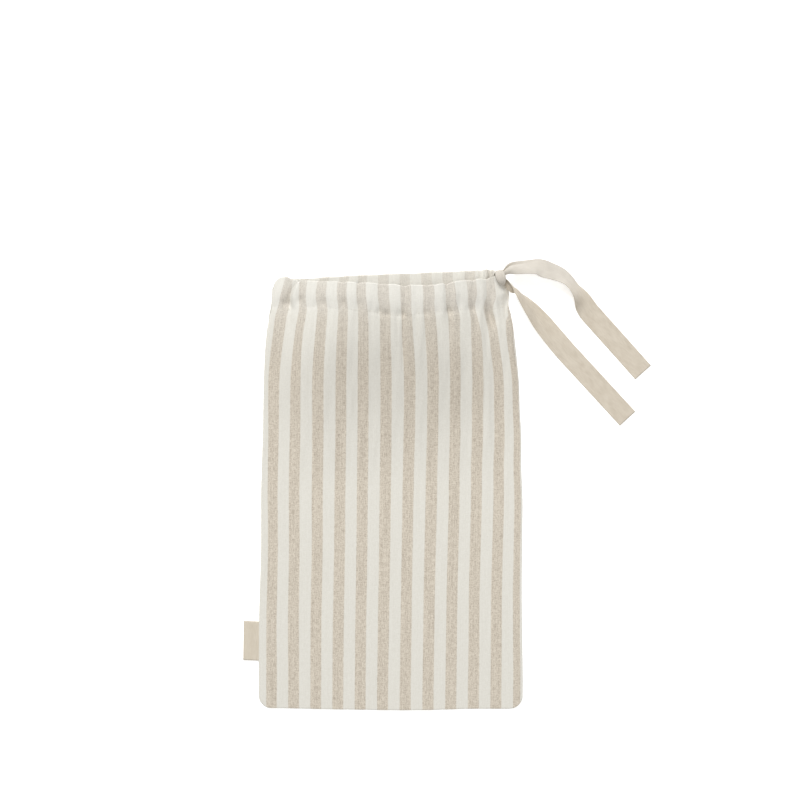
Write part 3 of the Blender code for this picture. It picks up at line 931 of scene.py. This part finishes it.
# ---- stitching
def make_stitches(name, panel, material):
    """A row of single stitches, each an arched thread, along the casing's lower edge."""
    rows, sides = 5, 6
    centre_x = (np.arange(STITCH_COUNT) - (STITCH_COUNT - 1) / 2) * STITCH_PITCH
    place = np.linspace(-0.5, 0.5, rows)
    x = centre_x[:, None] + place * STITCH
    u = x / side(x, TENT_CROWN)
    y = panel.stitch(u)
    arch = np.cos(math.pi * place)
    above_cloth = STITCH_ARCH * arch - STITCH_SINK
    z = panel.outside(u, y, np.zeros_like(y)) + panel.outward * above_cloth
    turn = np.linspace(0, 2 * math.pi, sides, endpoint=False)
    thickness = THREAD_RADIUS * between((THREAD_END, 1), arch)[None, :, None]
    ring_y = y[..., None] + thickness * np.cos(turn)
    ring_z = z[..., None] + thickness * np.sin(turn)
    points = np.stack(np.broadcast_arrays(x[..., None], ring_y, ring_z), -1)
    index = np.arange(points[..., 0].size).reshape(STITCH_COUNT, rows, sides)
    beside = np.roll(index, -1, axis=2)
    walls = np.stack([index[:, :-1], index[:, 1:], beside[:, 1:], beside[:, :-1]], -1)
    ends = np.concatenate([index[:, 0, ::-1], index[:, -1]]).tolist()
    faces = walls.reshape(-1, 4).tolist() + ends
    return mesh_object(name, points.reshape(-1, 3), faces, None, material)


# ---- materials
class Nodes:
    """Short ways to add nodes to a material."""

    def __init__(self, name):
        self.material = bpy.data.materials.new(name)
        self.material.use_nodes = True
        self.tree = self.material.node_tree
        self.shader = self.tree.nodes["Principled BSDF"]

    def add(self, kind, **settings):
        """New node with those settings."""
        node = self.tree.nodes.new(kind)
        for key, value in settings.items():
            setattr(node, key, value)
        return node

    def put(self, socket, value):
        """Link or set a socket."""
        if isinstance(value, bpy.types.NodeSocket):
            self.tree.links.new(value, socket)
        else:
            socket.default_value = value

    def set(self, name, value):
        """Link or set one of the shader's inputs."""
        self.put(self.shader.inputs[name], value)

    def math(self, operation, *values):
        """Result of a Math node."""
        node = self.add("ShaderNodeMath", operation=operation)
        for socket, value in zip(node.inputs, values):
            self.put(socket, value)
        return node.outputs[0]

    def cloth(self):
        """The cloth's own coordinates, across and along, in millimetres."""
        node = self.add("ShaderNodeUVMap", uv_map=CLOTH_MAP)
        parts = self.add("ShaderNodeSeparateXYZ")
        self.put(parts.inputs[0], node.outputs[0])
        return parts.outputs[0], parts.outputs[1]

    def noise(self, cloth, grain):
        """Uneven value from 0 to 1; a grain is its size across and along, and a seed."""
        vector = self.add("ShaderNodeCombineXYZ")
        self.put(vector.inputs[0], self.math("DIVIDE", cloth[0], grain[0]))
        self.put(vector.inputs[1], self.math("DIVIDE", cloth[1], grain[1]))
        vector.inputs[2].default_value = grain[2]
        node = self.add("ShaderNodeTexNoise")
        self.put(node.inputs["Vector"], vector.outputs[0])
        node.inputs["Scale"].default_value = 1.0
        return node.outputs[0]

    def total(self, *parts):
        """Sum of (weight, value) pairs."""
        result = 0.0
        for weight, value in parts:
            result = self.math("MULTIPLY_ADD", value, weight, result)
        return result

    def ramp(self, value, low, high, start=0.0, end=1.0):
        """From start where the value is low to end where it is high, smoothly."""
        node = self.add("ShaderNodeMapRange", interpolation_type="SMOOTHSTEP")
        for socket, number in zip(node.inputs, (value, low, high, start, end)):
            self.put(socket, number)
        return node.outputs[0]

    def mix(self, share, first, second):
        """Colour that share of the way from the first to the second."""
        node = self.add("ShaderNodeMix", data_type="RGBA")
        self.put(node.inputs["Factor"], share)
        self.put(node.inputs["A"], first)
        self.put(node.inputs["B"], second)
        return node.outputs["Result"]

    def bump(self, height, distance):
        """Relief of the surface: a height of 1 stands for that distance."""
        node = self.add("ShaderNodeBump")
        node.inputs["Strength"].default_value = 1.0
        node.inputs["Distance"].default_value = distance * MM
        self.put(node.inputs["Height"], height)
        self.set("Normal", node.outputs[0])

    def finish(self, roughness, sheen):
        """The material, with the gloss of dry cloth."""
        self.set("Roughness", roughness)
        self.set("Sheen Weight", sheen)
        self.set("Sheen Roughness", 0.5)
        self.set("Specular IOR Level", 0.25)
        return self.material


WHITE_LINEN = (0.72, 0.695, 0.625, 1)
PALE_WHITE = (0.795, 0.775, 0.71, 1)
FLAX = (0.738, 0.671, 0.564, 1)
DARK_FLAX = (0.455, 0.395, 0.32, 1)
COOL_LIT_FLAX = (0.59, 0.595, 0.57, 1)
HOLLOW_SHADE_COLOUR = (0.30, 0.27, 0.23, 1)
CASING_LIGHT_COLOUR = (0.95, 0.95, 0.93, 1)

# Changes up the cloth: where each starts and ends, from the bottom, and how strong it is.
PAINTED_COOL_LIGHT = (350, 430, 0, 0.25)  # painted light: the flax is painted greyer toward the mouth, for the cooler light there
PAINTED_EDGE_HIGHLIGHT = (436, 452, 0, 0.35)  # painted highlight: the flax is painted paler toward the folded edge
HOLLOW_START = (280, 335, 0, 0.08)  # painted shade: the cloth is painted darker over the bag's hollow
HOLLOW_END = (355, 412, 1, 0)  # and that ends here
DOUBLED = (405, 425, 0, 0.1)  # painted light: the casing's two plies are painted paler, as less of the dark inside shows through

# Grains: size across and along the cloth in millimetres, and a seed.
WARP_GRAIN = (1.2, 60, 6)  # whole warp threads
STRETCH_GRAIN = (0.8, 5, 2)  # thick and thin stretches of them
CROSSING_GRAIN = (0.9, 1.3, 3)  # single crossings of threads
PICK_GRAIN = (5, 0.8, 4)  # weft threads
SLUB_GRAIN = (0.9, 6, 5)  # raised thick places in the yarn
SPECK_GRAIN = (0.9, 1.6, 8)  # dark specks in the flax
FLECK_GRAIN = (1.1, 1.4, 9)  # pale flecks in it
EDGE_GRAIN = (2.2, 7, 1)  # a stripe's wandering edge

# Values of the noise between which a colour changes.
WHITE_CHANGE = (0.35, 0.65)
FLAX_CHANGE = (0.39, 0.64)
SPECKS = (0.62, 0.72)
FLECKS = (0.60, 0.70)
COTTON_CHANGE = (0.35, 0.7)

THREAD = 0.78  # distance between the linen's threads
EDGE_WANDER = 0.7  # how far a stripe's edge wanders, in all
EDGE_BLUR = 0.5  # half the width over which it changes colour
WEAVE_RELIEF = 0.35  # of the plain weave, as a share of the slubs' relief
LINEN_BUMP = 0.12


def woven_height(nodes, cloth, thread):
    """Height of a plain weave: each thread goes over one and under the next."""
    warp = nodes.math("SINE", nodes.math("MULTIPLY", cloth[0], math.pi / thread))
    weft = nodes.math("SINE", nodes.math("MULTIPLY", cloth[1], math.pi / thread))
    return nodes.math("MULTIPLY", warp, weft)


def flax_share(nodes, cloth):
    """1 in the flax stripes and 0 in the white ones, with ragged edges."""
    wander = nodes.noise(cloth, EDGE_GRAIN)
    ragged = nodes.math("MULTIPLY_ADD", wander, EDGE_WANDER, -EDGE_WANDER / 2)
    line = nodes.math("ADD", nodes.math("SUBTRACT", cloth[0], STRIPE_PHASE), ragged)
    from_middle = nodes.math("PINGPONG", line, STRIPE_PITCH / 2)
    half = FLAX_WIDTH / 2
    return nodes.ramp(from_middle, half + EDGE_BLUR, half - EDGE_BLUR)


def flax_shade(nodes, cloth, thread):
    """How dark the heathered flax is."""
    heather = nodes.ramp(thread, *FLAX_CHANGE)
    specks = nodes.ramp(nodes.noise(cloth, SPECK_GRAIN), *SPECKS)
    flecks = nodes.ramp(nodes.noise(cloth, FLECK_GRAIN), *FLECKS)
    return nodes.total((1.0, heather), (0.7, specks), (-0.6, flecks))


def linen():
    """Off-white linen with flax stripes of uneven, heathered thread."""
    nodes = Nodes("striped_linen")
    cloth = nodes.cloth()
    along = cloth[1]
    picks = nodes.noise(cloth, PICK_GRAIN)
    thread = nodes.total((0.18, nodes.noise(cloth, WARP_GRAIN)),
                         (0.33, nodes.noise(cloth, STRETCH_GRAIN)),
                         (0.25, nodes.noise(cloth, CROSSING_GRAIN)),
                         (0.24, picks))

    white = nodes.mix(nodes.ramp(thread, *WHITE_CHANGE), PALE_WHITE, WHITE_LINEN)
    flax = nodes.mix(flax_shade(nodes, cloth, thread), FLAX, DARK_FLAX)
    # painted light: greyer flax toward the mouth stands in for the cooler light there
    flax = nodes.mix(nodes.ramp(along, *PAINTED_COOL_LIGHT), flax, COOL_LIT_FLAX)
    # painted highlight: the flax turns toward white near the folded edge
    flax = nodes.mix(nodes.ramp(along, *PAINTED_EDGE_HIGHLIGHT), flax, white)
    colour = nodes.mix(flax_share(nodes, cloth), white, flax)
    # painted shade: the front is darkened where it lies over the bag's shaded hollow
    hollow_shade = nodes.math("MULTIPLY", nodes.ramp(along, *HOLLOW_START),
                             nodes.ramp(along, *HOLLOW_END))
    colour = nodes.mix(hollow_shade, colour, HOLLOW_SHADE_COLOUR)
    # painted light: the casing is painted paler than the single-ply body
    colour = nodes.mix(nodes.ramp(along, *DOUBLED), colour, CASING_LIGHT_COLOUR)
    nodes.set("Base Color", colour)

    weave = woven_height(nodes, cloth, THREAD)
    slubs = nodes.noise(cloth, SLUB_GRAIN)
    nodes.bump(nodes.total((WEAVE_RELIEF, weave), (1.0, slubs), (1.0, picks)), LINEN_BUMP)
    return nodes.finish(roughness=0.9, sheen=0.12)


COTTON = (0.69, 0.62, 0.515, 1)
COTTON_SHADE = (0.58, 0.51, 0.41, 1)
PAINTED_LIT_COTTON = (0.61, 0.59, 0.555, 1)
LABEL_COLOUR = (0.70, 0.63, 0.52, 1)
LABEL_SHADE = (0.62, 0.55, 0.44, 1)
STREAK_GRAIN = (0.5, 8, 6)
CLOUD_GRAIN = (6, 14, 7)
RIB = 0.55  # distance between the tape's ribs
RIB_RELIEF = 0.4  # of the ribs, as a share of the streaks' relief
COTTON_BUMP = 0.06
PAINTED_LIGHT_START = (KNOT_START - 5, KNOT_START, 0, 1)  # painted light: the tape is painted paler and greyer from the knot, where it tilts toward the light
PAINTED_LIGHT_END = (UPPER_START + 125, UPPER_START + 85, 0, 0.5)  # and for a way beyond


def cotton(name, light, shade):
    """Narrow woven tape with fine ribs across it."""
    nodes = Nodes(name)
    cloth = nodes.cloth()
    along = cloth[1]
    streaks = nodes.noise(cloth, STREAK_GRAIN)
    tone = nodes.total((0.6, streaks), (0.4, nodes.noise(cloth, CLOUD_GRAIN)))
    colour = nodes.mix(nodes.ramp(tone, *COTTON_CHANGE), light, shade)
    # painted light: paler, greyer tape at the knot and along the upper tail's arch
    lit_share = nodes.math("MULTIPLY", nodes.ramp(along, *PAINTED_LIGHT_START),
                          nodes.ramp(along, *PAINTED_LIGHT_END))
    nodes.set("Base Color", nodes.mix(lit_share, colour, PAINTED_LIT_COTTON))
    ribs = nodes.math("SINE", nodes.math("MULTIPLY", along, 2 * math.pi / RIB))
    nodes.bump(nodes.total((RIB_RELIEF, ribs), (1.0, streaks)), COTTON_BUMP)
    return nodes.finish(roughness=0.8, sheen=0.25)


def plain_thread():
    """White sewing thread."""
    nodes = Nodes("thread")
    nodes.set("Base Color", WHITE_LINEN)
    return nodes.finish(roughness=0.7, sheen=0.1)


# ---- stage
VIEW_CENTRE = (10.0, 99.2)  # the camera looks straight down on this point
VIEW_HEIGHT = 1400.0
FLOOR_REACH = 6.0  # metres from the middle
FLOOR_DROP = 0.2  # how far it lies under the bag
FLOOR_COLOUR = (0.93, 0.93, 0.93, 1)
FLOOR_GLOW = 0.46  # keeps it as pale as the photo's ground
ROOM_LIGHT = 0.44  # strength of the light from all round
WHITE = (1, 1, 1, 1)
LIGHTS = (
    # name, place and width in metres, power
    ("key", (-1.0, 2.7, 2.95), 1.9, 113),
    ("fill", (1.0, -0.5, 2.4), 2.0, 12),
)
LIT_POINT = (0.02, 0.02, 0)


def make_floor():
    """Plain pale floor, just under the bag."""
    mesh = bpy.data.meshes.new("floor")
    corners = [(x * FLOOR_REACH, y * FLOOR_REACH, 0)
               for x, y in ((-1, -1), (1, -1), (1, 1), (-1, 1))]
    mesh.from_pydata(corners, [], [(0, 1, 2, 3)])
    floor = add_object("floor", mesh)
    floor.location.z = -FLOOR_DROP * MM
    nodes = Nodes("floor")
    nodes.set("Base Color", FLOOR_COLOUR)
    nodes.set("Emission Color", WHITE)
    nodes.set("Emission Strength", FLOOR_GLOW)
    mesh.materials.append(nodes.finish(roughness=0.9, sheen=0.0))


def make_world():
    """Even white light from all round."""
    world = bpy.data.worlds.new("studio")
    world.use_nodes = True
    background = world.node_tree.nodes["Background"]
    background.inputs["Color"].default_value = WHITE
    background.inputs["Strength"].default_value = ROOM_LIGHT
    bpy.context.scene.world = world


def add_light(name, place, size, power):
    """Round, soft light that points at the bag."""
    light = bpy.data.lights.new(name, "AREA")
    light.shape = "DISK"
    light.size = size
    light.energy = power
    lamp = add_object(name, light)
    lamp.location = place
    aim = Vector(LIT_POINT) - Vector(place)
    lamp.rotation_euler = aim.to_track_quat("-Z", "Y").to_euler()


def make_camera():
    """Camera above the bag, looking straight down."""
    camera = bpy.data.cameras.new("camera")
    camera.lens = 60
    camera.sensor_width = 36
    camera.clip_end = 20
    eye = add_object("camera", camera)
    eye.location = (VIEW_CENTRE[0] * MM, VIEW_CENTRE[1] * MM, VIEW_HEIGHT * MM)
    bpy.context.scene.camera = eye


def make_stage():
    """Floor, soft light from the upper left and the camera."""
    make_floor()
    make_world()
    for light in LIGHTS:
        add_light(*light)
    make_camera()
    bpy.context.scene.view_settings.view_transform = "Standard"


# ---- main
def attach(piece, node):
    """Let a piece ride on the bag and stand for its CAD node."""
    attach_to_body(piece, BODY)
    if node:
        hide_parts(node)


def main():
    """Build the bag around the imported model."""
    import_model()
    make_stage()
    front = Panel(mouth_column=1, is_front=True)
    back = Panel(mouth_column=2, is_front=False)
    striped = linen()
    thread = plain_thread()

    front_cloth = make_panel("front_cloth", front, striped)
    back_cloth = make_panel("back_cloth", back, striped)
    drawstring = make_tape(front, back, cotton("cotton_tape", COTTON, COTTON_SHADE))
    label = make_label(cotton("label_tape", LABEL_COLOUR, LABEL_SHADE))
    attach(front_cloth, "front_panel")
    attach(back_cloth, "back_panel")
    attach(drawstring, "drawstring_tape")
    attach(label, "side_label")
    stitches = [make_stitches("front_stitches", front, thread),
                make_stitches("back_stitches", back, thread)]
    for piece in stitches:
        attach(piece, None)


main()
